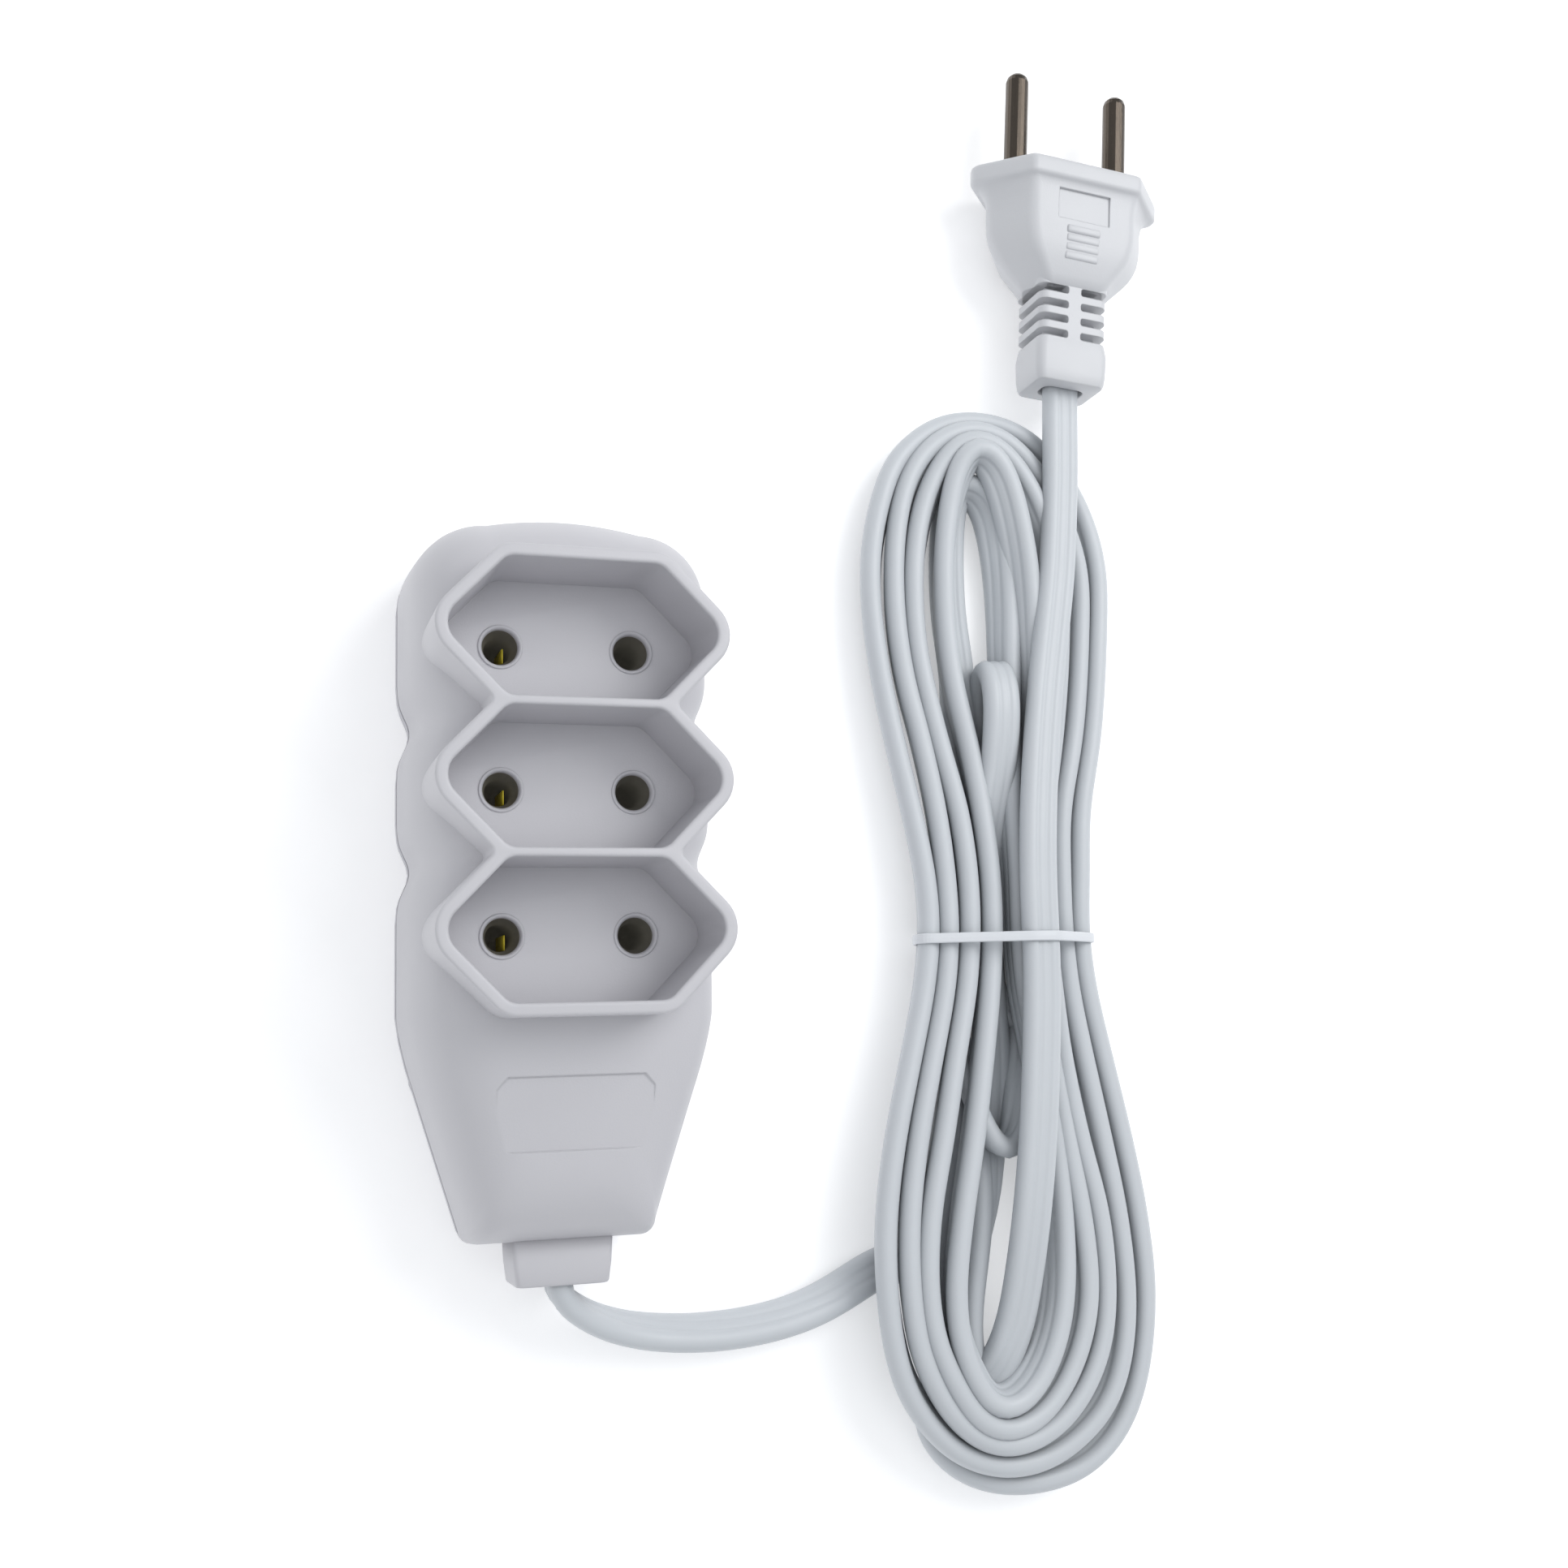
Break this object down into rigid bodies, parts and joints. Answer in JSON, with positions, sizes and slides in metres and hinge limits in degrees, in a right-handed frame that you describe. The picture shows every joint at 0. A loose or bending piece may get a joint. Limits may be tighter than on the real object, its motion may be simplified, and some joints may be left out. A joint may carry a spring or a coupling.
{
  "type": "extension cord",
  "caption": "White extension cord: socket block with six-sided recesses, flat lead folded in a tied hank, and a moulded plug with round pins.",
  "frame": {"origin": "centre of the socket block's footprint, on the surface that the block, hank and plug lie on", "axes": "+X from pin hole to pin hole, +Y along the block away from its cord, +Z out of the socket recesses"},
  "size_m": [0.1314, 0.2363, 0.0354],
  "materials": {
    "shell": "satin moulded, light warm grey-white",
    "shell_back": "fine spark-eroded texture, light grey-white",
    "cord_sheath": "satin flexible PVC, cool white",
    "plug_plastic": "satin moulded PVC, bright white",
    "tie": "translucent white band",
    "inner_plastic": "plain moulded insulating plastic",
    "contact_brass": "rolled strip, cut edges",
    "nickel": "satin nickel plate",
    "zinc_steel": "zinc plated",
    "core_brown": "plain core insulation",
    "core_blue": "plain core insulation"
  },
  "bodies": {
    "root": {"front_shell": "shell", "rear_cover": "shell_back", "cord_grommet": "shell", "case_screw_1": "zinc_steel", "case_screw_2": "zinc_steel", "case_screw_3": "zinc_steel", "busbar_left": "contact_brass", "busbar_right": "contact_brass", "core_left": "core_brown", "core_right": "core_blue", "crimp_left": "contact_brass", "crimp_right": "contact_brass", "cord_clamp": "inner_plastic", "clamp_screw_left": "zinc_steel", "clamp_screw_right": "zinc_steel", "cord_inner_end": "cord_sheath", "cord_lead_block": "cord_sheath", "cord_hank": "cord_sheath", "cord_lead_plug": "cord_sheath", "cord_tie": "tie", "plug_body": "plug_plastic", "plug_pin_carrier": "inner_plastic", "plug_pin_left": "nickel", "plug_pin_right": "nickel", "plug_core_left": "core_brown", "plug_core_right": "core_blue", "plug_cord_end": "cord_sheath"}
  },
  "joints": []
}
